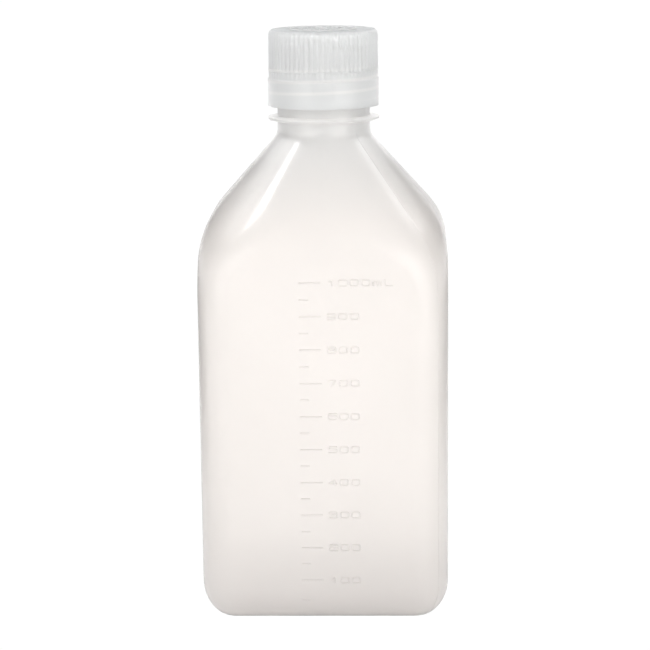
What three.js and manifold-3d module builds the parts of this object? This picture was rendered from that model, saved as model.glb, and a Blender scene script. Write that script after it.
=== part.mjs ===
// A square one litre laboratory bottle: a blow-moulded body with moulded graduations, a sealing
// ring, and a ribbed screw cap. Millimetres, +Z up. The origin is the centre of the base on the
// surface it stands on, and the graduated face looks towards -Y.
import * as THREE from 'three';
import { mergeVertices } from 'three/addons/utils/BufferGeometryUtils.js';
import Module from 'manifold-3d';

const wasm = await Module();
wasm.setup();

const DEGREE = Math.PI / 180;
const TURN = 2 * Math.PI;
const DIAGONAL = Math.SQRT2;

// Body: upright walls on a rounded square
const BODY_HALF = 46.5;          // half the width across the flats
const BODY_CORNER = 13;          // radius of the upright corners
const BODY_DRAFT = 0.3;          // how much narrower each side is at the base
const DRAFT_TOP = 120;           // the draft ends at this height
const WALL = 1.3;

// Base: a flat standing ring around a shallow push-up
const BASE_ROUND_WIDE = 10.8;
const BASE_ROUND_TALL = 14;
const RING_INNER_HALF = 28;
const PUSH_UP_HALF = 19;
const PUSH_UP = 2.8;

// Shoulder: the slopes above the four faces, and the ridges above the four corners
const FACE_BREAK_Z = 145.8;      // where the face's upright and slope would meet
const FACE_SLOPE = 49 * DEGREE;  // from the horizontal
const FACE_ROUND = 30.6;
const RIDGE_BREAK_Z = 137.2;
const RIDGE_ROUND = 35.7;
const NECK_BLEND = 1.6;          // softness of the shoulder's foot on the neck

// Neck: the thread and flange of a 38 mm finish
const NECK_RADIUS = 17.5;
const BORE_RADIUS = 15;
const FLANGE_RADIUS = 21.3;
const FLANGE_Z = 185.2;
const FLANGE_THICK = 1.6;
const RIM_Z = 215.6;
const RIM_ROUND = 0.7;

// Screw thread: one start, right-handed, shared by the neck and the cap
const PITCH = 4.233;
const THREAD_ROOT_WIDTH = 2.2;
const THREAD_CREST_WIDTH = 1;
const THREAD_STEPS = 32;         // segments in a turn
const THREAD_FADE = 0.08;        // turns over which each end rises from the wall
const THREAD_BURY = 0.4;         // how far the ridge reaches into the wall behind it
const NECK_CREST = 18.7;
const NECK_THREAD_Z = 194.2;
const NECK_THREAD_TURNS = 3.25;
const THREAD_START = 120 * DEGREE;
const CAP_CREST = 17.85;
const CAP_THREAD_TURNS = 2;
const FLANK_GAP = 0.3;           // between the cap's thread and the neck's, drawn tight

// Cap: a ribbed grip over a smooth skirt
const CAP_BOTTOM = 189.8;
const CAP_TOP = 218.5;
const CAP_PLATE = 1.7;
const CAP_BORE = 19.05;
const SKIRT_RADIUS = 21.05;
const SKIRT_TOP = 200.4;
const GRIP_RADIUS = 20.7;
const RIB_COUNT = 64;
const RIB_DEPTH = 0.38;
const RIB_FOOT_Z = 203.5;        // the grooves start to run out here
const CAP_EDGE_WIDE = 1.75;
const CAP_EDGE_TALL = 2.3;

// Sealing ring: a loose flat ring between a boss and a retaining bead inside the cap
const SEAL_RADIUS = 18.3;
const SEAL_HOLE = 14.6;
const SEAL_THICK = 1;
const SEAL_BOSS = 14.3;          // radius of the low boss under the cap's top that centres the ring
const SEAL_BOSS_TALL = 0.8;
const SEAL_GAP = 0.1;
const SEAL_POCKET = 18.6;
const BEAD_RADIUS = 17.95;
const BEAD_WIDE = 0.6;

// Relief: graduation lines on the face, and a ring and gate mark on the cap
const RELIEF = 0.25;
const LINE_WIDE = 0.5;
const LINE_LEFT = -8.3;
const LONG_LINE = 7.8;
const SHORT_LINE = 3.1;
const LITRE_Z = 129.2;
const HEIGHT_PER_100_ML = 12.5;
const LOWEST_LINE_Z = 9;         // 50 mL, where the base's rounding has taken some volume
const CAP_RELIEF = 0.35;
const CAP_RING_RADIUS = 12.4;
const CAP_RING_WIDE = 0.7;
const GATE_RADIUS = 1.6;

const CORNER_STEPS = 9;
const ROUND_STEPS = 40;
const CAP_BORE_STEPS = 48;

function spread(from, to, steps) {
  return Array.from({ length: steps + 1 }, (_, i) => from + ((to - from) * i) / steps);
}

// A closed mesh through a stack of loops that all have the same number of points. Loops run
// anticlockwise as seen from the end of the stack, and both ends are closed flat or as cones.
function loft(loops) {
  const count = loops[0].length;
  const middle = (loop) => loop.reduce((sum, p) => sum.add(p), new THREE.Vector3())
    .divideScalar(count);
  const points = [...loops.flat(), middle(loops[0]), middle(loops.at(-1))];
  const first = loops.length * count;
  const faces = [];
  for (let i = 0; i < count; i++) {
    const next = (i + 1) % count;
    for (let row = 0; row + 1 < loops.length; row++) {
      const low = row * count;
      const high = low + count;
      faces.push(low + i, low + next, high + next);
      faces.push(low + i, high + next, high + i);
    }
    const last = first - count;
    faces.push(first, next, i);
    faces.push(first + 1, last + i, last + next);
  }
  const geometry = new THREE.BufferGeometry().setFromPoints(points);
  geometry.setIndex(faces);
  return geometry;
}

function circle(radius, z, steps = ROUND_STEPS) {
  return spread(0, TURN, steps).slice(0, -1)
    .map((a) => new THREE.Vector3(radius * Math.cos(a), radius * Math.sin(a), z));
}

// A turned shape from [radius, height] pairs, lowest first
function turned(profile, steps = ROUND_STEPS) {
  return loft(profile.map(([radius, z]) => circle(radius, z, steps)));
}

// A rounded square. Its points spread evenly once the corners have grown into a full circle.
function roundedSquare(half, corner, z) {
  const roundness = THREE.MathUtils.clamp((corner / half - 0.3) / 0.7, 0, 1);
  const centre = half - corner;
  const loop = [];
  for (let quarter = 0; quarter < 4; quarter++) {
    const middle = quarter * 90 * DEGREE + 45 * DEGREE;
    const centreX = centre * DIAGONAL * Math.cos(middle);
    const centreY = centre * DIAGONAL * Math.sin(middle);
    for (let step = 0; step <= CORNER_STEPS; step++) {
      const share = (step + roundness / 2) / (CORNER_STEPS + roundness);
      const a = (quarter + share) * 90 * DEGREE;
      loop.push(new THREE.Vector3(
        centreX + corner * Math.cos(a), centreY + corner * Math.sin(a), z));
    }
  }
  return loop;
}

// Distance from the axis, at height z, of a wall that stands upright, turns inwards along an arc
// at breakZ, and follows a straight slope up to the neck.
function slopingWall(upright, breakZ, slope, round, neck) {
  const tangent = round * Math.tan((90 * DEGREE - slope) / 2);
  const arcStart = breakZ - tangent;
  const arcEnd = breakZ + tangent * Math.sin(slope);
  return (z) => {
    let distance = upright;
    if (z > arcEnd) {
      distance = upright - (z - breakZ) / Math.tan(slope);
    } else if (z > arcStart) {
      distance = upright - round + Math.sqrt(round ** 2 - (z - arcStart) ** 2);
    }
    return (distance + neck + Math.hypot(distance - neck, NECK_BLEND)) / 2;
  };
}

// The body's section at each height, as deep inside the outer surface as inset says
function bodySection(inset, neck) {
  const uprightDiagonal = DIAGONAL * BODY_HALF - (DIAGONAL - 1) * BODY_CORNER;
  const shoulderTall = (BODY_HALF - NECK_RADIUS) * Math.tan(FACE_SLOPE);
  const neckFootZ = FACE_BREAK_Z + shoulderTall;
  const ridgeSlope = Math.atan2(neckFootZ - RIDGE_BREAK_Z, uprightDiagonal - NECK_RADIUS);
  const drop = (slope) => (inset * (1 - Math.sin(slope))) / Math.cos(slope);
  const face = slopingWall(
    BODY_HALF - inset, FACE_BREAK_Z - drop(FACE_SLOPE), FACE_SLOPE, FACE_ROUND - inset, neck);
  const ridge = slopingWall(
    uprightDiagonal - inset, RIDGE_BREAK_Z - drop(ridgeSlope), ridgeSlope,
    RIDGE_ROUND - inset, neck);
  return (z) => {
    const draft = BODY_DRAFT * Math.max(0, 1 - z / DRAFT_TOP);
    const half = face(z) - draft;
    const diagonal = ridge(z) - draft;
    const corner = (DIAGONAL * half - diagonal) / (DIAGONAL - 1);
    return { half, corner: Math.min(corner, half) };
  };
}

// Loops of the body from the base's rounding up to the neck
function bodyLoops(inset, neck, topZ) {
  const section = bodySection(inset, neck);
  const wide = BASE_ROUND_WIDE - inset;
  const tall = BASE_ROUND_TALL - inset;
  const base = spread(0, 90 * DEGREE, 5).map((a) => {
    const z = inset + tall * (1 - Math.cos(a));
    const { half, corner } = section(z);
    const pulledIn = wide * (1 - Math.sin(a));
    return roundedSquare(half - pulledIn, corner - pulledIn, z);
  });
  const heights = [
    70, DRAFT_TOP, ...spread(125, 161, 9), ...spread(166, 174, 2), 176.5, 178.5, 180.5, topZ];
  const walls = heights.map((z) => {
    const { half, corner } = section(z);
    return roundedSquare(half, corner, z);
  });
  return [...base, ...walls];
}

// A ridge of trapezoidal section that climbs anticlockwise. Its crest may be outside its root, as
// on a neck, or inside it, as in a cap.
function helicalRidge(startZ, turns, root, crest) {
  const outwards = Math.sign(crest - root);
  const sections = spread(0, turns, Math.round(turns * THREAD_STEPS)).map((turned) => {
    const a = THREAD_START + turned * TURN;
    const z = startZ + turned * PITCH;
    const rise = Math.min(1, turned / THREAD_FADE, (turns - turned) / THREAD_FADE);
    const top = root + (crest - root) * (1.1 * rise - 0.1);
    const foot = root - outwards * THREAD_BURY;
    const at = (radius, up) => new THREE.Vector3(
      radius * Math.cos(a), radius * Math.sin(a), z + up);
    const corners = [
      at(foot, -THREAD_ROOT_WIDTH / 2),
      at(foot, THREAD_ROOT_WIDTH / 2),
      at(top, THREAD_CREST_WIDTH / 2),
      at(top, -THREAD_CREST_WIDTH / 2),
    ];
    return outwards > 0 ? corners : corners.reverse();
  });
  return loft(sections);
}

// A box given by its limits along each axis
function block([left, right], [front, back], [bottom, top]) {
  const geometry = new THREE.BoxGeometry(right - left, back - front, top - bottom);
  geometry.translate((left + right) / 2, (front + back) / 2, (bottom + top) / 2);
  return geometry;
}

function solid(geometry) {
  geometry.deleteAttribute('normal');
  geometry.deleteAttribute('uv');
  const merged = mergeVertices(geometry);
  return new wasm.Manifold(new wasm.Mesh({
    numProp: 3,
    vertProperties: new Float32Array(merged.attributes.position.array),
    triVerts: new Uint32Array(merged.index.array),
  }));
}

function piece(name, shape, material) {
  const { vertProperties, triVerts } = shape.getMesh();
  const geometry = new THREE.BufferGeometry();
  geometry.setAttribute('position', new THREE.BufferAttribute(vertProperties, 3));
  geometry.setIndex(new THREE.BufferAttribute(triVerts, 1));
  geometry.computeVertexNormals();
  const mesh = new THREE.Mesh(geometry, material);
  mesh.name = name;
  return mesh;
}

function lineHeight(millilitres) {
  const even = LITRE_Z - ((1000 - millilitres) / 100) * HEIGHT_PER_100_ML;
  return millilitres < 100 ? LOWEST_LINE_Z : even;
}

// Raised lines every 50 mL, the longer ones every 100 mL
function graduationLines() {
  const section = bodySection(0, NECK_RADIUS);
  const lines = [];
  for (let millilitres = 50; millilitres <= 1000; millilitres += 50) {
    const z = lineHeight(millilitres);
    const rounding = BASE_ROUND_WIDE * (1 - Math.sqrt(
      1 - Math.max(0, 1 - z / BASE_ROUND_TALL) ** 2));
    const face = -(section(z).half - rounding);
    const length = millilitres % 100 === 0 ? LONG_LINE : SHORT_LINE;
    lines.push(solid(block(
      [LINE_LEFT, LINE_LEFT + length],
      [face - RELIEF, face + WALL / 2],
      [z - LINE_WIDE / 2, z + LINE_WIDE / 2])));
  }
  return lines;
}

function bottle() {
  const flangeLow = FLANGE_Z - FLANGE_THICK / 2;
  const flangeHigh = FLANGE_Z + FLANGE_THICK / 2;
  const neck = [
    [NECK_RADIUS, flangeLow],
    [FLANGE_RADIUS - 0.5, flangeLow + 0.3],
    [FLANGE_RADIUS, FLANGE_Z],
    [FLANGE_RADIUS - 0.5, flangeHigh - 0.3],
    [NECK_RADIUS, flangeHigh],
    [NECK_RADIUS, RIM_Z - RIM_ROUND],
    [NECK_RADIUS - RIM_ROUND, RIM_Z],
  ].map(([radius, z]) => roundedSquare(radius, radius, z));
  const pushUp = (inset, outerHalf, centreZ) => [
    roundedSquare(PUSH_UP_HALF, BODY_CORNER / 2, centreZ),
    roundedSquare(outerHalf, BODY_CORNER / 2, inset),
  ];
  const outside = loft([
    ...pushUp(0, RING_INNER_HALF, PUSH_UP),
    ...bodyLoops(0, NECK_RADIUS, flangeLow - 1.5),
    ...neck,
  ]);
  const inside = loft([
    ...pushUp(WALL, RING_INNER_HALF - WALL, PUSH_UP + WALL),
    ...bodyLoops(WALL, BORE_RADIUS, flangeHigh),
    roundedSquare(BORE_RADIUS, BORE_RADIUS, RIM_Z - RIM_ROUND),
    roundedSquare(BORE_RADIUS + RIM_ROUND, BORE_RADIUS + RIM_ROUND, RIM_Z + 0.01),
  ]);
  const thread = helicalRidge(NECK_THREAD_Z, NECK_THREAD_TURNS, NECK_RADIUS, NECK_CREST);
  let shape = solid(outside).subtract(solid(inside)).add(solid(thread));
  for (const line of graduationLines()) shape = shape.add(line);
  return piece('bottle', shape, new THREE.MeshStandardMaterial({
    color: 0xe9e8e6, roughness: 0.38, metalness: 0, transparent: true, opacity: 0.85,
  }));
}

// A ring of the cap's grip, with alternating ribs and grooves
function gripLoop(radius, depth, z) {
  return circle(1, z, 2 * RIB_COUNT).map((p, i) => {
    const r = radius - (i % 2) * depth;
    return new THREE.Vector3(p.x * r, p.y * r, z);
  });
}

function screwCap() {
  const edge = spread(0, 90 * DEGREE, 3).map((a) => gripLoop(
    GRIP_RADIUS - CAP_EDGE_WIDE * (1 - Math.cos(a)),
    RIB_DEPTH * Math.cos(a),
    CAP_TOP - CAP_EDGE_TALL * (1 - Math.sin(a))));
  const outside = loft([
    gripLoop(SKIRT_RADIUS, 0, CAP_BOTTOM),
    gripLoop(SKIRT_RADIUS, 0, SKIRT_TOP - 0.3),
    gripLoop(GRIP_RADIUS, 0.05, SKIRT_TOP),
    gripLoop(GRIP_RADIUS, RIB_DEPTH, RIB_FOOT_Z),
    ...edge,
  ]);
  const ceiling = CAP_TOP - CAP_PLATE;
  const beadTop = ceiling - SEAL_THICK - 2 * SEAL_GAP;
  const inside = turned([
    [CAP_BORE + 0.6, CAP_BOTTOM - 1],
    [CAP_BORE + 0.6, CAP_BOTTOM],
    [CAP_BORE, CAP_BOTTOM + 0.8],
    [CAP_BORE, beadTop - 2 * BEAD_WIDE - (CAP_BORE - BEAD_RADIUS)],
    [BEAD_RADIUS, beadTop - 2 * BEAD_WIDE],
    [BEAD_RADIUS, beadTop - BEAD_WIDE],
    [SEAL_POCKET, beadTop],
    [SEAL_POCKET, ceiling],
    [SEAL_BOSS, ceiling],
    [SEAL_BOSS, ceiling - SEAL_BOSS_TALL],
  ], CAP_BORE_STEPS);
  const belowNeckThread = (THREAD_ROOT_WIDTH + THREAD_CREST_WIDTH) / 2 + FLANK_GAP;
  const thread = helicalRidge(
    NECK_THREAD_Z + PITCH - belowNeckThread, CAP_THREAD_TURNS, CAP_BORE, CAP_CREST);
  const reliefFoot = CAP_TOP - CAP_PLATE / 2;
  const reliefTop = CAP_TOP + CAP_RELIEF;
  const disc = (radius, low, high) => solid(turned([[radius, low], [radius, high]]));
  const ring = disc(CAP_RING_RADIUS + CAP_RING_WIDE / 2, reliefFoot, reliefTop)
    .subtract(disc(CAP_RING_RADIUS - CAP_RING_WIDE / 2, reliefFoot - 1, reliefTop + 1));
  const gate = disc(GATE_RADIUS, reliefFoot, reliefTop);
  const shape = solid(outside).subtract(solid(inside)).add(solid(thread)).add(ring).add(gate);
  return piece('screw_cap', shape, new THREE.MeshStandardMaterial({
    color: 0xdcdcda, roughness: 0.34, metalness: 0, transparent: true, opacity: 0.9,
  }));
}

function sealingRing() {
  const top = CAP_TOP - CAP_PLATE - SEAL_GAP;
  const bottom = top - SEAL_THICK;
  const disc = turned([[SEAL_RADIUS, bottom], [SEAL_RADIUS, top]], CAP_BORE_STEPS);
  const hole = turned([[SEAL_HOLE, bottom - 1], [SEAL_HOLE, top + 1]], CAP_BORE_STEPS);
  return piece('sealing_ring', solid(disc).subtract(solid(hole)), new THREE.MeshStandardMaterial({
    color: 0xf2f2ef, roughness: 0.7, metalness: 0,
  }));
}

const part = new THREE.Group();
part.add(bottle(), sealingRing(), screwCap());

export default part;
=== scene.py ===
"""A square one litre laboratory bottle of natural polypropylene, with its sealing ring and screw
cap.

Shapes are worked out in millimetres in the CAD model's frame and written as metres. The graduated
face looks towards -Y.
"""

from math import atan2, cos, hypot, pi, radians, sin, sqrt, tan

import bpy
from mathutils import Matrix, Vector


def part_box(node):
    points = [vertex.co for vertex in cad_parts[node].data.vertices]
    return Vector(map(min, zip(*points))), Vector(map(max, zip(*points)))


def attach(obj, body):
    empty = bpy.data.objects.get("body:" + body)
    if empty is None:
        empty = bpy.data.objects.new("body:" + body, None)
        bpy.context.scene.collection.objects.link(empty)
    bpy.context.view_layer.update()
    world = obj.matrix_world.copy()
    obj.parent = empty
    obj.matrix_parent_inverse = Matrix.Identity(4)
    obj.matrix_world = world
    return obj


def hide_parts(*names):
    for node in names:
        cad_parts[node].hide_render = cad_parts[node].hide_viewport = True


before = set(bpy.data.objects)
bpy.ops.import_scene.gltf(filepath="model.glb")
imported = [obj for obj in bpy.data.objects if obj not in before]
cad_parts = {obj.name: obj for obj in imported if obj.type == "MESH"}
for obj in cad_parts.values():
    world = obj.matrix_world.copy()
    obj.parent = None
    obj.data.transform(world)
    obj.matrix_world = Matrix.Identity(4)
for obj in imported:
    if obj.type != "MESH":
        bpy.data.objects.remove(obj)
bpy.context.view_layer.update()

MM = 0.001
TURN = 2 * pi
DIAGONAL = sqrt(2)
SHARP_ANGLE = 35


def box_mm(node):
    """A CAD node's lowest and highest corners, in millimetres."""
    low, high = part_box(node)
    return low / MM, high / MM


_, BOTTLE_HIGH = box_mm("bottle")
CAP_LOW, CAP_HIGH = box_mm("screw_cap")
SEAL_LOW, SEAL_HIGH = box_mm("sealing_ring")

# Body and base
BODY_HALF = 46.5
BODY_CORNER = 13
BODY_DRAFT = 0.3
DRAFT_TOP = 120
WALL = 1.3
BASE_ROUND_WIDE = 10.8
BASE_ROUND_TALL = 14
RING_INNER_HALF = 28
PUSH_UP_HALF = 19
PUSH_UP_BLEND = 6
PUSH_UP_CORNER = 0.45
PUSH_UP = 2.8

# Shoulder
FACE_BREAK_Z = 145.8
FACE_SLOPE = radians(49)
FACE_ROUND = 30.6
RIDGE_BREAK_Z = 137.2
RIDGE_ROUND = 35.7
NECK_FOOT_Z = 170
NECK_BLEND = 0.9

# Neck
NECK_RADIUS = 17.5
BORE_RADIUS = 15
RIM_Z = BOTTLE_HIGH.z
RIM_ROUND = 0.7
FLANGE_RADIUS = 21.3
FLANGE_Z = 185.2
FLANGE_THICK = 1.6

# Threads
PITCH = 4.233
THREAD_ROOT_WIDTH = 2.2
THREAD_CREST_WIDTH = 1
THREAD_FADE = 0.08
THREAD_START = radians(120)
NECK_THREAD_Z = 194.2
NECK_THREAD_TURNS = 3.25
NECK_THREAD_TALL = 1.2
CAP_THREAD_BELOW = 1.9
CAP_THREAD_Z = NECK_THREAD_Z + PITCH - CAP_THREAD_BELOW
CAP_THREAD_TURNS = 2
CAP_THREAD_TALL = 1.2

# Height of the neck's thread at an angle of nought. The closed cap has a band of painted light
# there, where the thread would show through it.
THREAD_BAND_Z = NECK_THREAD_Z + (TURN - THREAD_START) / TURN * PITCH

# Cap
CAP_RELIEF = 0.35
CAP_BOTTOM = CAP_LOW.z
CAP_TOP = CAP_HIGH.z - CAP_RELIEF
CAP_BORE = 19.05
SKIRT_RADIUS = CAP_HIGH.x
SKIRT_TOP = 200.4
GRIP_RADIUS = 20.7
RIB_COUNT = 64
RIB_DEPTH = 0.38
RIB_FOOT_Z = 203.5
CAP_EDGE_WIDE = 1.75
CAP_EDGE_TALL = 2.3
RIB_FOOT_RING = 0.1

# Inside of the cap, and the sealing ring between its boss and its bead
CAP_CEILING = SEAL_HIGH.z + 0.1
SEAL_HOLE = 14.6
SEAL_EDGE = 0.15
SEAL_GROOVES = (15.6, 16.6)
SEAL_GROOVE_HALF = 0.2
SEAL_GROOVE_DEEP = 0.1
SEAL_BOSS = 14.3
SEAL_BOSS_TALL = 0.8
SEAL_POCKET = 18.6
BEAD_RADIUS = 17.95

# Graduations
RELIEF = 0.25
STROKE_WIDE = 0.5
STROKE_ROOT = 0.45
LINE_LEFT = -8.3
LONG_LINE = 7.8
SHORT_LINE = 3.1
LITRE_Z = 129.2
HEIGHT_PER_100_ML = 12.5
LOWEST_LINE_Z = 9
NUMERAL_LEFT = 2.1
NUMERAL_WIDE = 2.9
NUMERAL_TALL = 2.2
NUMERAL_PITCH = 4.2
NUMERAL_ROUNDING = 0.3

# Relief on the cap's top
TOP_RING_RADIUS = 12.4
TOP_DASH_RADIUS = 8.6
TOP_DASH_COUNT = 26
TOP_DASH_LONG = 1.3

# The mould's parting line
SEAM_WIDE = 0.22
SEAM_TALL = 0.12


def spread(start, end, steps):
    return [start + (end - start) * i / steps for i in range(steps + 1)]


def smooth(t):
    t = min(1, max(0, t))
    return t * t * (3 - 2 * t)


# ---------------------------------------------------------------- meshes

def new_mesh(name, vertices, faces):
    mesh = bpy.data.meshes.new(name)
    mesh.from_pydata([Vector(v) * MM for v in vertices], [], faces)
    mesh.validate()
    return mesh


def join_relief(piece, skins):
    """Joins closed skins to a piece, so that all of it is one skin."""
    vertices, faces = [], []
    for skin_vertices, skin_faces in skins:
        first = len(vertices)
        vertices += skin_vertices
        faces += [[first + i for i in face] for face in skin_faces]
    added = bpy.data.objects.new("relief", new_mesh("relief", vertices, faces))
    bpy.context.scene.collection.objects.link(added)
    joining = piece.modifiers.new("join", "BOOLEAN")
    joining.operation = "UNION"
    joining.solver = "MANIFOLD"
    joining.object = added
    evaluated = piece.evaluated_get(bpy.context.evaluated_depsgraph_get())
    piece.data = bpy.data.meshes.new_from_object(evaluated)
    piece.modifiers.clear()
    bpy.data.objects.remove(added)


def make_piece(name, skin, material, body, node, relief=()):
    """A smooth-shaded piece from points in millimetres, standing for a CAD node on its body."""
    piece = bpy.data.objects.new(name, new_mesh(name, *skin))
    bpy.context.scene.collection.objects.link(piece)
    for skins in relief:
        join_relief(piece, skins)
    mesh = piece.data
    mesh.name = name
    mesh.shade_smooth()
    mesh.set_sharp_from_angle(angle=radians(SHARP_ANGLE))
    mesh.materials.clear()
    mesh.materials.append(material)
    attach(piece, body)
    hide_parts(node)
    return piece


def loft(loops, ring=False):
    """Vertices and faces of a closed skin through loops with the same number of points. The last
    loop of a ring meets the first. Otherwise both ends are closed by a point in their middle."""
    count = len(loops[0])
    vertices = [p for loop in loops for p in loop]
    faces = []
    for row in range(len(loops) if ring else len(loops) - 1):
        low = row * count
        high = (row + 1) % len(loops) * count
        for i in range(count):
            j = (i + 1) % count
            faces.append((low + i, low + j, high + j, high + i))
    if ring:
        return vertices, faces
    last = (len(loops) - 1) * count
    for end in (loops[0], loops[-1]):
        vertices.append(tuple(sum(p[axis] for p in end) / count for axis in range(3)))
    for i in range(count):
        j = (i + 1) % count
        faces.append((len(vertices) - 2, j, i))
        faces.append((len(vertices) - 1, last + i, last + j))
    return vertices, faces


# ---------------------------------------------------------------- body sections

FLAT_STEPS = 12
CORNER_STEPS = 20
QUARTER_STEPS = FLAT_STEPS + CORNER_STEPS


def square_point(half, corner, share):
    """A point on a rounded square's outline. share runs from 0 to 1, anticlockwise from +X."""
    flat = half - corner
    arc = pi / 2 * corner
    quarter, along = divmod(share * 4, 1)
    distance = along * (2 * flat + arc)
    if distance < flat:
        x, y = half, distance
    elif distance > flat + arc:
        x, y = 2 * flat + arc - distance, half
    else:
        a = (distance - flat) / corner
        x, y = flat + corner * cos(a), flat + corner * sin(a)
    a = quarter * pi / 2
    return x * cos(a) - y * sin(a), x * sin(a) + y * cos(a)


def quarter_shares(half, corner):
    """Where the points of a quarter sit: close together on the corner, even on a circle."""
    flat = half - corner
    arc = pi / 2 * corner
    whole = 2 * flat + arc
    roundness = smooth((corner / half - 0.3) / 0.7)
    shares = []
    for i in range(QUARTER_STEPS):
        if i < FLAT_STEPS / 2:
            square = flat * i / (FLAT_STEPS / 2)
        elif i <= FLAT_STEPS / 2 + CORNER_STEPS:
            square = flat + arc * (i - FLAT_STEPS / 2) / CORNER_STEPS
        else:
            rest = i - FLAT_STEPS / 2 - CORNER_STEPS
            square = flat + arc + flat * rest / (FLAT_STEPS / 2)
        even = i / QUARTER_STEPS
        shares.append(square / whole * (1 - roundness) + even * roundness)
    return shares


def body_loop(half, corner, z, seam=0.0):
    """A loop of the body at height z. The mould's parting line is a fine ridge on the front right
    and back left corners."""
    loop = []
    whole = 8 * (half - corner) + TURN * corner
    fine = SEAM_WIDE / 2 / whole
    for quarter in range(4):
        for i, share in enumerate(quarter_shares(half, corner)):
            place = (quarter + share) / 4
            if i == QUARTER_STEPS // 2:
                lift = seam if quarter in (1, 3) else 0
                x, y = square_point(half, corner, place)
                scale = 1 + lift / hypot(x, y)
                before = square_point(half, corner, place - fine)
                after = square_point(half, corner, place + fine)
                loop += [(*before, z), (x * scale, y * scale, z), (*after, z)]
            else:
                loop.append((*square_point(half, corner, place), z))
    return loop


def sloping_wall(upright, break_z, slope, rounding, neck):
    """Distance from the axis of a wall that stands upright, turns inwards along an arc at
    break_z, follows a straight slope and blends into the neck."""
    tangent = rounding * tan((pi / 2 - slope) / 2)
    arc_start = break_z - tangent
    arc_end = break_z + tangent * sin(slope)

    def distance(z):
        away = upright
        if z > arc_end:
            away = upright - (z - break_z) / tan(slope)
        elif z > arc_start:
            away = upright - rounding + sqrt(rounding**2 - (z - arc_start) ** 2)
        return (away + neck + hypot(away - neck, NECK_BLEND)) / 2

    return distance


def body_section(inset, neck):
    """The body's half width and corner radius at each height, as deep inside as inset says."""
    upright_diagonal = DIAGONAL * BODY_HALF - (DIAGONAL - 1) * BODY_CORNER
    neck_foot_z = FACE_BREAK_Z + (BODY_HALF - NECK_RADIUS) * tan(FACE_SLOPE)
    ridge_slope = atan2(neck_foot_z - RIDGE_BREAK_Z, upright_diagonal - NECK_RADIUS)

    def wall(upright, break_z, slope, rounding):
        drop = inset * (1 - sin(slope)) / cos(slope)
        return sloping_wall(upright - inset, break_z - drop, slope, rounding - inset, neck)

    face = wall(BODY_HALF, FACE_BREAK_Z, FACE_SLOPE, FACE_ROUND)
    ridge = wall(upright_diagonal, RIDGE_BREAK_Z, ridge_slope, RIDGE_ROUND)

    def section(z):
        draft = BODY_DRAFT * max(0, 1 - z / DRAFT_TOP)
        half = face(z) - draft
        diagonal = ridge(z) - draft
        return half, min(half, (DIAGONAL * half - diagonal) / (DIAGONAL - 1))

    return section


def base_pull_in(z, wide, tall):
    """How far the base's rounding pulls the walls in at height z."""
    return wide * (1 - sqrt(1 - max(0, 1 - z / tall) ** 2))


def base_loops(inset, steps):
    """The underside, or the floor inside, from the middle out to the standing ring."""
    loops = []
    for t in spread(0, 1, steps):
        outer = RING_INNER_HALF - inset
        half = 1 + (outer - 1) * t
        inner = PUSH_UP_HALF - PUSH_UP_BLEND
        rise = 1 - smooth((half - inner) / (outer - inner))
        seam = -SEAM_TALL if inset == 0 and t < 1 else 0
        loops.append(body_loop(half, half * PUSH_UP_CORNER, inset + PUSH_UP * rise, seam))
    return loops


def body_loops(inset, neck, heights, rounding_steps, seam):
    """The body from its standing ring up through the heights given."""
    section = body_section(inset, neck)
    wide = BASE_ROUND_WIDE - inset
    tall = BASE_ROUND_TALL - inset
    loops = []
    for a in spread(0, pi / 2, rounding_steps):
        above = tall * (1 - cos(a))
        z = inset + above
        half, corner = section(z)
        pulled_in = base_pull_in(above, wide, tall)
        loops.append(body_loop(half - pulled_in, corner - pulled_in, z, seam))
    for z in heights:
        loops.append(body_loop(*section(z), z, seam))
    return loops


# ---------------------------------------------------------------- threads and turned shapes

def thread_height(angle, z, start_z, turns, tall):
    """How far a helical ridge stands off its wall at this angle and height."""
    best = 0
    first = ((angle - THREAD_START) % TURN) / TURN
    for lap in range(int(turns) + 1):
        turned = first + lap
        if turned > turns:
            break
        off = abs(z - start_z - turned * PITCH)
        flank = (THREAD_ROOT_WIDTH / 2 - off) / (THREAD_ROOT_WIDTH - THREAD_CREST_WIDTH) * 2
        fade = smooth(min(turned, turns - turned) / THREAD_FADE)
        best = max(best, tall * smooth(flank) * fade)
    return best


def with_thread(loop, start_z, turns, tall):
    """A round loop with the thread's height added, outwards if tall is positive."""
    threaded = []
    for x, y, z in loop:
        radius = hypot(x, y)
        lift = thread_height(atan2(y, x), z, start_z, turns, abs(tall))
        scale = 1 + (lift if tall > 0 else -lift) / radius
        threaded.append((x * scale, y * scale, z))
    return threaded


def circle(radius, z, count):
    return [(radius * cos(TURN * i / count), radius * sin(TURN * i / count), z)
            for i in range(count)]


# ---------------------------------------------------------------- raised strokes

# Half of a stroke's section, from its root in the wall to its crest: shares of its half width
# and of its height
STROKE_HALF_SECTION = [(1, 0), (0.8, 0.6), (0.35, 0.95)]

# How high a stroke's open end still stands, as a share of its height, and how far the end runs
# past the path, as a share of its width
STROKE_END = 0.35
STROKE_RUN_OUT = 0.3

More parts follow.
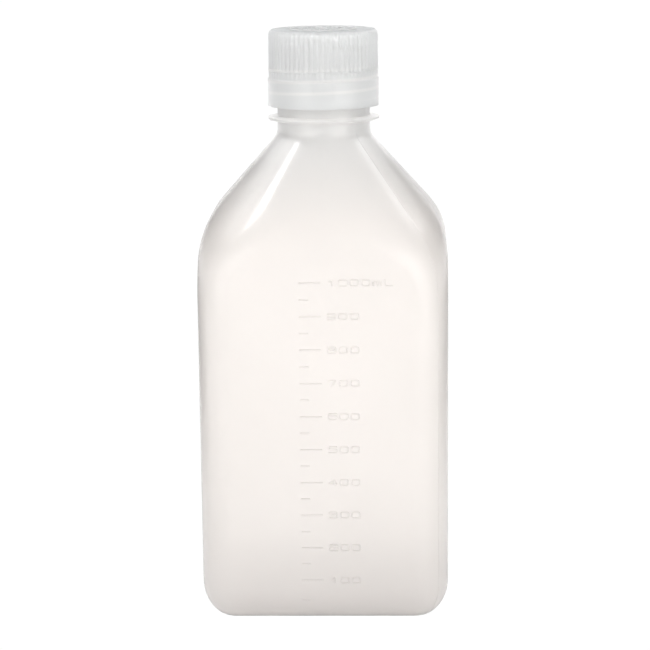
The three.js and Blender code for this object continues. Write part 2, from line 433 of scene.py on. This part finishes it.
# The centre line of each mark in a square of side one. A bar that meets the main line is apart
# from it, so that neither crosses itself.
LOOP = [(0, 0), (1, 0), (1, 1), (0, 1)]
MARKS = {
    "0": (LOOP, None),
    "1": ([(0.25, 0.72), (0.62, 1), (0.62, 0)], None),
    "2": ([(0, 0.75), (0, 1), (1, 1), (1, 0.55), (0, 0.35), (0, 0), (1, 0)], None),
    "3": ([(0, 0.85), (0, 1), (1, 1), (1, 0), (0, 0), (0, 0.15)], [(0.3, 0.52), (1, 0.52)]),
    "4": ([(0.72, 0), (0.72, 1), (0, 0.3)], [(0, 0.3), (1, 0.3)]),
    "5": ([(1, 1), (0, 1), (0, 0.58), (1, 0.58), (1, 0), (0, 0)], None),
    "6": ([(1, 1), (0, 1), (0, 0), (1, 0), (1, 0.56)], [(1, 0.56), (0, 0.56)]),
    "7": ([(0, 1), (1, 1), (0.35, 0)], None),
    "8": (LOOP, [(0, 0.52), (1, 0.52)]),
    "9": ([(0, 0), (1, 0), (1, 1), (0, 1), (0, 0.46)], [(0, 0.46), (1, 0.46)]),
    "m": ([(0, 0), (0, 0.75), (1, 0.75), (1, 0)], [(0.5, 0.75), (0.5, 0)]),
    "L": ([(0, 1), (0, 0), (1, 0)], None),
}


def stroke(path, outward, closed=False):
    """The skin of a raised stroke along a path on a wall that faces outward."""
    points = [Vector(p) for p in path]
    ways = [(b - a).normalized() for a, b in zip(points, points[1:] + points[:1])]
    if closed:
        ways = ways[-1:] + ways
    else:
        ways = ways[:1] + ways[:-1] + ways[-2:-1]
    half = STROKE_WIDE / 2
    loops = []
    for i, point in enumerate(points):
        sides = outward.cross(ways[i]) + outward.cross(ways[i + 1])
        side = 2 * half * sides / sides.length_squared
        full = closed or 0 < i < len(points) - 1
        rise = RELIEF * (1 if full else STROKE_END)
        right = [(share, rise * up) for share, up in STROKE_HALF_SECTION]
        right.insert(0, (1, -STROKE_ROOT))
        section = right + [(-share, up) for share, up in reversed(right)]
        loops.append([tuple(point + side * share + outward * up) for share, up in section])
    return loft(loops, closed)


def with_ends(path):
    """A path with a short run added at both ends, where the stroke sinks to the wall."""
    run = STROKE_WIDE * STROKE_RUN_OUT
    first, second, *_ = [Vector(p) for p in path]
    before_last, last = [Vector(p) for p in path[-2:]]
    start = first - (second - first).normalized() * run
    end = last + (last - before_last).normalized() * run
    return [tuple(start), *path, tuple(end)]


def rounded(path, rounding, closed):
    """A path whose corners are short curves."""
    points = [Vector(p) for p in path]
    bent = []
    for i, corner in enumerate(points):
        if not closed and i in (0, len(points) - 1):
            bent.append(corner)
            continue
        before, after = points[i - 1] - corner, points[(i + 1) % len(points)] - corner
        cut = min(rounding, before.length / 2.2, after.length / 2.2)
        start, end = corner + before.normalized() * cut, corner + after.normalized() * cut
        for t in spread(0, 1, 4):
            bent.append(start * (1 - t) ** 2 + corner * 2 * t * (1 - t) + end * t**2)
    return bent


# ---------------------------------------------------------------- materials

# A pair is the lightest and the darkest of a piece's clouds
BODY_COLOURS = (0.93, 0.905, 0.885), (0.88, 0.855, 0.835)
# Painted shade on the neck and the foot, painted light on the flange
NECK_PAINTED_SHADE = (0.82, 0.82, 0.815)
FOOT_PAINTED_SHADE = (0.84, 0.815, 0.8)
FLANGE_PAINTED_LIGHT = (0.87, 0.865, 0.855)
CAP_COLOURS = (0.84, 0.855, 0.86), (0.8, 0.815, 0.82)
# Painted light where the neck's thread lies behind the closed cap, painted shade on the cap's top
# and painted glints on its relief
THREAD_PAINTED_LIGHT = (0.93, 0.93, 0.925)
CAP_TOP_PAINTED_SHADE = (0.7, 0.72, 0.73)
CAP_RELIEF_PAINTED_GLINT = (0.95, 0.95, 0.95)
RING_COLOURS = (0.93, 0.93, 0.92), (0.89, 0.89, 0.88)

CLEARNESS = 0.7
PLASTIC_IOR = 1.49
BOTTLE_GLOSS = 0.45
GLOSS_ROUGHNESS = 0.12
BOTTLE_ROUGHNESS = (0.32, 0.42)
CAP_ROUGHNESS = (0.28, 0.36)
RING_ROUGHNESS = (0.55, 0.7)
CAP_SHEEN_ROUGHNESS = 0.4
CAP_WAVINESS = 0.3
CLOUD_MM = 38

# Heights between which the bottle's painted shade and its sheen change, and distances from the
# flange's middle over which its painted light fades
NECK_SHADE_Z = (150, 178)
NECK_SHEEN_Z = (168, 178)
FOOT_SHADE_FIRST_Z = (1, 5)
FOOT_SHADE_LAST_Z = (5, 35)
FLANGE_LIGHT_REACH = (1, 1.6)

# The cap's painted light and shade: half of a band of painted light as shares of the pitch, then
# distances above the ribs' foot, below the neck's thread, and below and above the cap's top, where
# the painted shade of the top and the painted glints of its relief begin
THREAD_BAND_HALF = (0.06, 0.2)
BAND_ABOVE_FOOT = 2
BAND_BELOW_THREAD = (1.8, 0.8)
TOP_SHADE_BELOW = (0.5, 0.1)
RELIEF_GLINT_ABOVE = (0.08, 0.2)


class Nodes:
    """A material's node tree, with short calls for what the materials here share."""

    def __init__(self, name):
        self.material = bpy.data.materials.new(name)
        self.material.use_nodes = True
        self.tree = self.material.node_tree
        self.shader = self.tree.nodes["Principled BSDF"]
        self.place = self.add("ShaderNodeTexCoord").outputs["Object"]

    def add(self, kind, **values):
        node = self.tree.nodes.new(kind)
        for key, value in values.items():
            setattr(node, key, value)
        return node

    def link(self, source, target):
        self.tree.links.new(source, target)

    def noise(self, size_mm, detail=2.0, stretch=(1, 1, 1)):
        """Noise whose blobs are about size_mm across."""
        mapping = self.add("ShaderNodeMapping")
        mapping.inputs["Scale"].default_value = [s / (size_mm * MM) for s in stretch]
        self.link(self.place, mapping.inputs["Vector"])
        noise = self.add("ShaderNodeTexNoise")
        noise.inputs["Scale"].default_value = 1
        noise.inputs["Detail"].default_value = detail
        self.link(mapping.outputs[0], noise.inputs["Vector"])
        return noise.outputs["Fac"]

    def ranged(self, source, low, high, start=0.3, end=0.7):
        """The source stretched so that start to end becomes low to high, and clamped there."""
        node = self.add("ShaderNodeMapRange")
        node.inputs["From Min"].default_value = start
        node.inputs["From Max"].default_value = end
        node.inputs["To Min"].default_value = low
        node.inputs["To Max"].default_value = high
        self.link(source, node.inputs["Value"])
        return node.outputs["Result"]

    def rising(self, source, start_mm, end_mm):
        """Nought up to start_mm, then up to one at end_mm."""
        return self.ranged(source, 0, 1, start_mm * MM, end_mm * MM)

    def falling(self, source, start_mm, end_mm):
        """One up to start_mm, then down to nought at end_mm."""
        return self.ranged(source, 1, 0, start_mm * MM, end_mm * MM)

    def calculate(self, operation, first, second=None):
        node = self.add("ShaderNodeMath", operation=operation)
        for source, socket in zip((first, second), node.inputs):
            if isinstance(source, (int, float)):
                socket.default_value = source
            elif source is not None:
                self.link(source, socket)
        return node.outputs[0]

    def axes(self):
        """The place's x, y and z, in metres."""
        split = self.add("ShaderNodeSeparateXYZ")
        self.link(self.place, split.inputs[0])
        return split.outputs

    def blend_colours(self, factor, first, second):
        """Between two colours, each a constant or a source."""
        node = self.add("ShaderNodeMix", data_type="RGBA")
        for colour, socket in ((first, node.inputs["A"]), (second, node.inputs["B"])):
            if isinstance(colour, tuple):
                socket.default_value = (*colour, 1)
            else:
                self.link(colour, socket)
        self.link(factor, node.inputs["Factor"])
        return node.outputs["Result"]

    def bumps(self, *layers):
        """Stacks (height source, depth in mm) layers of bump into the shader's normal."""
        previous = None
        for height, depth_mm in layers:
            bump = self.add("ShaderNodeBump")
            bump.inputs["Strength"].default_value = 1
            bump.inputs["Distance"].default_value = depth_mm * MM
            self.link(height, bump.inputs["Height"])
            if previous:
                self.link(previous, bump.inputs["Normal"])
            previous = bump.outputs["Normal"]
        self.link(previous, self.shader.inputs["Normal"])

    def set(self, **values):
        for key, value in values.items():
            self.shader.inputs[key.replace("_", " ")].default_value = value


def milky_plastic(nodes, colour, clear, roughness, gloss=0.0, waviness=1.0):
    """Moulded plastic. Where clear is above nought, blurred light comes through its satin skin."""
    nodes.link(colour, nodes.shader.inputs["Base Color"])
    scuffs = nodes.noise(1.6, 6, stretch=(1, 1, 0.35))
    low, high = roughness
    nodes.link(nodes.ranged(scuffs, low, high), nodes.shader.inputs["Roughness"])
    uneven_walls = nodes.noise(24, 1)
    drawn_streaks = nodes.noise(5, 2, stretch=(1, 1, 0.12))
    grain = nodes.noise(0.55, 3)
    nodes.bumps((uneven_walls, 0.35 * waviness), (drawn_streaks, 0.03 * waviness), (grain, 0.006))
    nodes.set(Transmission_Weight=clear, IOR=PLASTIC_IOR)
    nodes.set(Coat_Weight=gloss, Coat_Roughness=GLOSS_ROUGHNESS)
    return nodes.material


def clouded(nodes, light, dark):
    return nodes.blend_colours(nodes.noise(CLOUD_MM, 3), light, dark)


def bottle_plastic():
    """The blown body is thin and warm. The neck and the foot are thicker, and are painted greyer as
    shade; the flange is painted lighter as light through its thin plate.
    """
    nodes = Nodes("bottle_polypropylene")
    _, _, z = nodes.axes()
    # Painted shade: the neck is painted greyer, where less light comes through and falls on it
    neck = nodes.rising(z, *NECK_SHADE_Z)
    colour = nodes.blend_colours(neck, clouded(nodes, *BODY_COLOURS), NECK_PAINTED_SHADE)
    # Painted shade over the lowest part of the body, full from 5 mm and gone at 35 mm, lighter
    # again in the lowest few millimetres
    foot = nodes.calculate(
        "MULTIPLY", nodes.rising(z, *FOOT_SHADE_FIRST_Z), nodes.falling(z, *FOOT_SHADE_LAST_Z))
    colour = nodes.blend_colours(foot, colour, FOOT_PAINTED_SHADE)
    nodes.link(nodes.rising(z, *NECK_SHEEN_Z), nodes.shader.inputs["Sheen Weight"])
    # Painted light on the flange: lighter than the neck around it, as light coming through its thin
    # plate
    from_flange = nodes.calculate("ABSOLUTE", nodes.calculate("SUBTRACT", z, FLANGE_Z * MM))
    flange = nodes.falling(from_flange, *FLANGE_LIGHT_REACH)
    colour = nodes.blend_colours(flange, colour, FLANGE_PAINTED_LIGHT)
    return milky_plastic(nodes, colour, CLEARNESS, BOTTLE_ROUGHNESS, gloss=BOTTLE_GLOSS)


def painted_thread_light(nodes):
    """The mask of painted light standing in for the thread seen through the cap: one along the
    helix of the neck's thread and nought between its turns, below the grip.
    """
    x, y, z = nodes.axes()
    turned = nodes.calculate("DIVIDE", nodes.calculate("ARCTAN2", y, x), TURN)
    laps = nodes.calculate("DIVIDE", nodes.calculate("SUBTRACT", z, THREAD_BAND_Z * MM), PITCH * MM)
    phase = nodes.calculate("PINGPONG", nodes.calculate("SUBTRACT", laps, turned), 0.5)
    band = nodes.ranged(phase, 1, 0, *THREAD_BAND_HALF)
    below_grip = nodes.falling(z, RIB_FOOT_Z, RIB_FOOT_Z + BAND_ABOVE_FOOT)
    above_lip = nodes.rising(z, *[NECK_THREAD_Z - below for below in BAND_BELOW_THREAD])
    within = nodes.calculate("MULTIPLY", below_grip, above_lip)
    return nodes.calculate("MULTIPLY", band, within)


def cap_plastic():
    """The wall has painted light, whiter bands where the neck's thread lies behind it when the cap
    is closed. The top has painted shade, greyer under its relief, and the relief is painted whiter
    as glints."""
    nodes = Nodes("cap_polypropylene")
    colour = clouded(nodes, *CAP_COLOURS)
    # Painted light: whiter bands where the neck's thread lies behind the closed cap
    colour = nodes.blend_colours(painted_thread_light(nodes), colour, THREAD_PAINTED_LIGHT)
    _, _, z = nodes.axes()
    # Painted shade: the cap's top is painted darker grey
    top = nodes.rising(z, *[CAP_TOP - below for below in TOP_SHADE_BELOW])
    colour = nodes.blend_colours(top, colour, CAP_TOP_PAINTED_SHADE)
    # Painted highlight: the raised relief on the top is painted whiter, as glints
    raised = nodes.rising(z, *[CAP_TOP + above for above in RELIEF_GLINT_ABOVE])
    colour = nodes.blend_colours(raised, colour, CAP_RELIEF_PAINTED_GLINT)
    nodes.link(nodes.calculate("SUBTRACT", 1, top), nodes.shader.inputs["Sheen Weight"])
    nodes.set(Sheen_Roughness=CAP_SHEEN_ROUGHNESS)
    return milky_plastic(nodes, colour, CLEARNESS, CAP_ROUGHNESS, waviness=CAP_WAVINESS)


def ring_plastic():
    nodes = Nodes("sealing_ring_polyethylene")
    return milky_plastic(nodes, clouded(nodes, *RING_COLOURS), 0, RING_ROUGHNESS)


# ---------------------------------------------------------------- bottle

def line_height(millilitres):
    even = LITRE_Z - (1000 - millilitres) / 100 * HEIGHT_PER_100_ML
    return LOWEST_LINE_Z if millilitres < 100 else even


def on_front_face(x, z):
    half, _ = body_section(0, NECK_RADIUS)(z)
    return x, -half + base_pull_in(z, BASE_ROUND_WIDE, BASE_ROUND_TALL), z


def graduations():
    """Two groups of strokes: the lines and the numerals' main lines, then the numerals' bars."""
    outward = Vector((0, -1, 0))
    mains, bars = [], []
    for millilitres in range(50, 1001, 50):
        z = line_height(millilitres)
        labelled = millilitres % 100 == 0
        right = LINE_LEFT + (LONG_LINE if labelled else SHORT_LINE)
        ends = [on_front_face(LINE_LEFT, z), on_front_face(right, z)]
        mains.append(stroke(with_ends(ends), outward))
        text = f"{millilitres}" if millilitres < 1000 else "1000mL"
        for place, mark in enumerate(text if labelled else ""):
            left = NUMERAL_LEFT + place * NUMERAL_PITCH
            for path, group in zip(MARKS[mark], (mains, bars)):
                if path is None:
                    continue
                closed = path is LOOP
                flat = [(u * NUMERAL_WIDE, (v - 0.5) * NUMERAL_TALL) for u, v in path]
                curve = [on_front_face(left + u, z + v)
                         for u, v in rounded(flat, NUMERAL_ROUNDING * NUMERAL_TALL, closed)]
                group.append(stroke(curve if closed else with_ends(curve), outward, closed))
    return mains, bars


def neck_loop(radius, z):
    return body_loop(radius, radius, z)


def flange_loops():
    low = FLANGE_Z - FLANGE_THICK / 2
    high = FLANGE_Z + FLANGE_THICK / 2
    section = (
        (NECK_RADIUS + 0.1, low - 0.2), (NECK_RADIUS + 0.5, low),
        (FLANGE_RADIUS - 1, low + 0.15), (FLANGE_RADIUS - 0.4, low + 0.25),
        (FLANGE_RADIUS - 0.1, low + 0.5), (FLANGE_RADIUS, FLANGE_Z),
        (FLANGE_RADIUS - 0.1, high - 0.5), (FLANGE_RADIUS - 0.4, high - 0.25),
        (FLANGE_RADIUS - 1, high - 0.15), (NECK_RADIUS + 0.5, high),
        (NECK_RADIUS + 0.1, high + 0.2), (NECK_RADIUS, high + 0.6))
    return [neck_loop(radius, z) for radius, z in section]


def neck_thread_loops():
    low = NECK_THREAD_Z - THREAD_ROOT_WIDTH
    high = NECK_THREAD_Z + NECK_THREAD_TURNS * PITCH + THREAD_ROOT_WIDTH
    below = spread(FLANGE_Z + FLANGE_THICK / 2 + 2, low - 1, 3)
    return [neck_loop(NECK_RADIUS, z) for z in below] + [
        with_thread(neck_loop(NECK_RADIUS, z), NECK_THREAD_Z, NECK_THREAD_TURNS,
                    NECK_THREAD_TALL)
        for z in spread(low, high, 90)]


def rim_loops():
    """The rounded rim, from the neck's outside over into the bore."""
    steps = spread(0, pi / 2, 5)
    return [
        neck_loop(NECK_RADIUS - RIM_ROUND * (1 - cos(a)), RIM_Z - RIM_ROUND * (1 - sin(a)))
        for a in steps
    ] + [
        neck_loop(BORE_RADIUS + RIM_ROUND * (1 - sin(a)), RIM_Z - RIM_ROUND * (1 - cos(a)))
        for a in steps]


def bottle():
    flange_low = FLANGE_Z - FLANGE_THICK / 2
    flange_high = FLANGE_Z + FLANGE_THICK / 2
    heights = (
        spread(BASE_ROUND_TALL, DRAFT_TOP, 22)[1:] + spread(DRAFT_TOP, NECK_FOOT_Z, 36)[1:]
        + spread(NECK_FOOT_Z, flange_low - 0.6, 14)[1:])
    outside = base_loops(0, 14) + body_loops(0, NECK_RADIUS, heights, 14, SEAM_TALL)
    outside += flange_loops() + neck_thread_loops() + rim_loops()
    bore = [neck_loop(BORE_RADIUS, z) for z in spread(RIM_Z - 2, flange_high, 8)]
    inner_heights = (
        spread(BASE_ROUND_TALL, DRAFT_TOP, 14)[1:] + spread(DRAFT_TOP, flange_high - 1, 36)[1:])
    inside = base_loops(WALL, 8) + body_loops(WALL, BORE_RADIUS, inner_heights, 8, 0)
    skin = loft(outside + bore + inside[::-1])
    return make_piece("bottle_body", skin, bottle_plastic(), "bottle", "bottle", graduations())


# ---------------------------------------------------------------- cap and sealing ring

AROUND_RIB = 8


def grip_loop(radius, depth, z):
    count = RIB_COUNT * AROUND_RIB
    loop = []
    for i, (x, y, _) in enumerate(circle(1, z, count)):
        groove = (0.5 - 0.5 * cos(TURN * i / AROUND_RIB)) ** 1.5
        r = radius - depth * groove
        loop.append((x * r, y * r, z))
    return loop


def cap_circle(radius, z):
    return circle(radius, z, RIB_COUNT * AROUND_RIB)


def cap_inside():
    """From the middle of the ceiling's boss, over the ring's pocket and its bead, down the bore."""
    bead_top = SEAL_LOW.z - 0.1
    boss_z = CAP_CEILING - SEAL_BOSS_TALL
    loops = [cap_circle(radius, z) for radius, z in (
        (1, boss_z), (9, boss_z), (SEAL_BOSS - 0.3, boss_z), (SEAL_BOSS, boss_z + 0.3),
        (SEAL_BOSS, CAP_CEILING), (SEAL_POCKET - 0.3, CAP_CEILING),
        (SEAL_POCKET, CAP_CEILING - 0.3), (SEAL_POCKET, bead_top),
        (BEAD_RADIUS, bead_top - 0.6), (BEAD_RADIUS, bead_top - 1.2),
        (CAP_BORE - 0.2, bead_top - 2.2), (CAP_BORE, bead_top - 2.6))]
    thread_top = CAP_THREAD_Z + CAP_THREAD_TURNS * PITCH + THREAD_ROOT_WIDTH
    loops += [cap_circle(CAP_BORE, z) for z in spread(bead_top - 3.5, thread_top + 1, 3)]
    loops += [
        with_thread(cap_circle(CAP_BORE, z), CAP_THREAD_Z, CAP_THREAD_TURNS, -CAP_THREAD_TALL)
        for z in spread(thread_top, CAP_BOTTOM + 0.9, 60)]
    return loops


def cap_skirt():
    """From the bore around the lower edge and up the smooth skirt."""
    return [cap_circle(radius, z) for radius, z in (
        (CAP_BORE + 0.1, CAP_BOTTOM + 0.6), (CAP_BORE + 0.5, CAP_BOTTOM + 0.15),
        (CAP_BORE + 0.8, CAP_BOTTOM), (SKIRT_RADIUS - 0.35, CAP_BOTTOM),
        (SKIRT_RADIUS - 0.1, CAP_BOTTOM + 0.1), (SKIRT_RADIUS, CAP_BOTTOM + 0.35),
        (SKIRT_RADIUS, CAP_BOTTOM + 4), (SKIRT_RADIUS, SKIRT_TOP - 1),
        (SKIRT_RADIUS, SKIRT_TOP - 0.45), (SKIRT_RADIUS - 0.08, SKIRT_TOP - 0.2))]


def cap_grip():
    """The ribs fade in above the skirt, cross a fine ring and fade out around the top's edge."""
    loops = [grip_loop(GRIP_RADIUS + 0.1, 0.04, SKIRT_TOP - 0.05),
             grip_loop(GRIP_RADIUS, 0.06, SKIRT_TOP + 0.2)]
    for z in spread(SKIRT_TOP + 0.5, RIB_FOOT_Z - 0.4, 5):
        depth = RIB_DEPTH * (z - SKIRT_TOP) / (RIB_FOOT_Z - SKIRT_TOP)
        loops.append(grip_loop(GRIP_RADIUS, depth, z))
    loops += [grip_loop(GRIP_RADIUS + RIB_FOOT_RING, 0.1, RIB_FOOT_Z - 0.15),
              grip_loop(GRIP_RADIUS + RIB_FOOT_RING, 0.1, RIB_FOOT_Z + 0.15)]
    edge_z = CAP_TOP - CAP_EDGE_TALL
    loops += [grip_loop(GRIP_RADIUS, RIB_DEPTH, z) for z in spread(RIB_FOOT_Z + 0.4, edge_z, 5)]
    for a in spread(0, pi / 2, 9)[1:]:
        loops.append(grip_loop(
            GRIP_RADIUS - CAP_EDGE_WIDE * (1 - cos(a)), RIB_DEPTH * cos(a) ** 0.7,
            CAP_TOP - CAP_EDGE_TALL * (1 - sin(a))))
    return loops


def cap_top():
    """The flat top, with a raised ring and the gate's mark in the middle."""
    raised = CAP_RELIEF
    return [cap_circle(radius, CAP_TOP + up) for radius, up in (
        (16, 0), (TOP_RING_RADIUS + 0.45, 0), (TOP_RING_RADIUS + 0.3, 0.7 * raised),
        (TOP_RING_RADIUS + 0.15, raised), (TOP_RING_RADIUS - 0.15, raised),
        (TOP_RING_RADIUS - 0.3, 0.7 * raised), (TOP_RING_RADIUS - 0.45, 0), (6, 0),
        (1.75, 0), (1.6, 0.7 * raised), (1.4, raised), (0.6, 0.6 * raised))]


def screw_cap():
    skin = loft(cap_inside() + cap_skirt() + cap_grip() + cap_top())
    return make_piece("screw_cap_shell", skin, cap_plastic(), "cap", "screw_cap", [top_dashes()])


def top_dashes():
    """Short raised dashes around the middle of the cap's top."""
    outward = Vector((0, 0, 1))
    dashes = []
    for i in range(TOP_DASH_COUNT):
        a = TURN * i / TOP_DASH_COUNT
        middle = Vector((TOP_DASH_RADIUS * cos(a), TOP_DASH_RADIUS * sin(a), CAP_TOP))
        along = Vector((cos(a), sin(a), 0)) * TOP_DASH_LONG / 2
        dashes.append(stroke(with_ends([middle - along, middle + along]), outward))
    return dashes


def sealing_ring():
    """A flat ring with two fine grooves in the face that the bottle's rim presses."""
    outer, edge = SEAL_HIGH.x, SEAL_EDGE
    low, high = SEAL_LOW.z, SEAL_HIGH.z
    section = [(SEAL_HOLE, low + edge), (SEAL_HOLE + edge, low)]
    for groove in SEAL_GROOVES:
        section += [(groove - SEAL_GROOVE_HALF, low), (groove, low + SEAL_GROOVE_DEEP),
                    (groove + SEAL_GROOVE_HALF, low)]
    section += [(outer - edge, low), (outer, low + edge), (outer, high - edge),
                (outer - edge, high), (SEAL_HOLE + edge, high), (SEAL_HOLE, high - edge)]
    skin = loft([circle(r, z, 96) for r, z in section], ring=True)
    return make_piece("sealing_ring_flat", skin, ring_plastic(), "seal", "sealing_ring")


bottle()
screw_cap()
sealing_ring()


# ---------------------------------------------------------------- camera, floor and light

CAMERA_DISTANCE = 0.9587
CAMERA_HEIGHT = 0.2829
CAMERA_TURN = radians(1.86)
CAMERA_TILT = radians(10.49)
CAMERA_ROLL = radians(-0.59)
CAMERA_SHIFT = (-0.0014, -0.0016)
CAMERA_LENS = 140.35
CAMERA_SENSOR = 36
CAMERA_SEES_TO = 20

MIDDLE = (0, 0, 0.11)
FLOOR_REACH = 8
FLOOR_Z = -2e-4
LIT_FLOOR_Z = -1e-4
LIT_FLOOR_STRENGTH = 1.02
FLAG_X = 0.3
FLAG_DEEP = 0.6
FLAG_HEIGHTS = {"low": (0.001, 0.1), "high": (0.2, 0.4)}

WHITE = (1, 1, 1)
WARM = (1, 0.97, 0.945)

# Name, place, size, brightness, aim, colour and whether gloss shows it, in metres
SOFTBOXES = [
    ("front_left", (-0.9, -1.0, 0.5), (1.0, 1.0), 3.05, MIDDLE, WARM, False),
    ("front_right", (0.9, -1.0, 0.5), (1.0, 1.0), 4.0, MIDDLE, WARM, False),
    ("overhead", (0, 0.1, 1.3), (1.6, 1.6), 0.1, (0, 0.1, 0), WHITE, True),
    ("high_left", (-0.7, 0.4, 0.85), (0.3, 0.5), 4.68, MIDDLE, WHITE, False),
    ("high_right", (0.7, 0.4, 0.85), (0.12, 0.5), 3.81, MIDDLE, WHITE, True),
    ("glint_left", (-0.68, 0.12, 1.28), (0.16, 0.16), 17, MIDDLE, WHITE, True),
    ("glint_right", (0.95, 0.45, 0.95), (0.12, 0.12), 14, MIDDLE, WHITE, True),
]


def add_camera():
    """A long lens, a little above the bottle and a little to its right."""
    data = bpy.data.cameras.new("camera")
    data.lens = CAMERA_LENS
    data.sensor_width = CAMERA_SENSOR
    data.clip_end = CAMERA_SEES_TO
    data.shift_x, data.shift_y = CAMERA_SHIFT
    place = Vector((CAMERA_DISTANCE * sin(CAMERA_TURN), -CAMERA_DISTANCE * cos(CAMERA_TURN),
                    CAMERA_HEIGHT))
    camera = bpy.data.objects.new("camera", data)
    camera.matrix_world = (
        Matrix.Translation(place)
        @ Matrix.Rotation(CAMERA_TURN, 4, "Z")
        @ Matrix.Rotation(pi / 2 - CAMERA_TILT, 4, "X")
        @ Matrix.Rotation(CAMERA_ROLL, 4, "Z"))
    bpy.context.scene.collection.objects.link(camera)
    bpy.context.scene.camera = camera


def add_stage(name, corners, material):
    """A flat four-cornered sheet of the studio."""
    mesh = bpy.data.meshes.new(name)
    mesh.from_pydata(corners, [], [(0, 1, 2, 3)])
    mesh.materials.append(material)
    sheet = bpy.data.objects.new(name, mesh)
    bpy.context.scene.collection.objects.link(sheet)
    return sheet


def add_floor():
    """A white floor. The camera sees a lit sheet on it that shows no shadow, as on a light table,
    and the bottle sees the plain floor."""
    plain = Nodes("floor")
    plain.set(Base_Color=(0.95, 0.95, 0.95, 1), Roughness=0.9, Specular_IOR_Level=0.1)
    lit = Nodes("lit_floor")
    lit.set(Base_Color=(0, 0, 0, 1), Specular_IOR_Level=0, Emission_Color=(1, 1, 1, 1),
            Emission_Strength=LIT_FLOOR_STRENGTH)
    reach = FLOOR_REACH
    square = [(-reach, -reach), (reach, -reach), (reach, reach), (-reach, reach)]
    add_stage("floor", [(x, y, FLOOR_Z) for x, y in square], plain.material)
    sheet = add_stage("lit_floor", [(x, y, LIT_FLOOR_Z) for x, y in square], lit.material)
    sheet.visible_diffuse = False
    sheet.visible_glossy = False
    sheet.visible_transmission = False
    sheet.visible_shadow = False


def add_flags():
    """Dark cards at both sides, out of the camera's sight, that draw the bottle's edges. The cap
    looks out between them."""
    nodes = Nodes("flag")
    nodes.set(Base_Color=(0.03, 0.03, 0.03, 1), Roughness=0.9)
    for side, x in (("left", -FLAG_X), ("right", FLAG_X)):
        for part, (low, high) in FLAG_HEIGHTS.items():
            corners = [(x, 0, low), (x, FLAG_DEEP, low), (x, FLAG_DEEP, high), (x, 0, high)]
            add_stage(f"flag_{part}_{side}", corners, nodes.material).visible_camera = False


def add_softbox(name, place, size, radiance, aim, colour, glints):
    data = bpy.data.lights.new(name, "AREA")
    data.shape = "RECTANGLE"
    data.size, data.size_y = size
    data.energy = radiance * pi * size[0] * size[1]
    data.color = colour
    light = bpy.data.objects.new(name, data)
    light.location = place
    light.rotation_euler = (Vector(aim) - Vector(place)).to_track_quat("-Z", "Y").to_euler()
    light.visible_camera = False
    light.visible_glossy = glints
    bpy.context.scene.collection.objects.link(light)


def add_light():
    world = bpy.data.worlds.new("studio")
    world.use_nodes = True
    world.node_tree.nodes["Background"].inputs["Color"].default_value = (1, 1, 1, 1)
    world.node_tree.nodes["Background"].inputs["Strength"].default_value = 1
    bpy.context.scene.world = world
    for softbox in SOFTBOXES:
        add_softbox(*softbox)


add_camera()
add_floor()
add_flags()
add_light()
bpy.context.scene.view_settings.view_transform = "Standard"
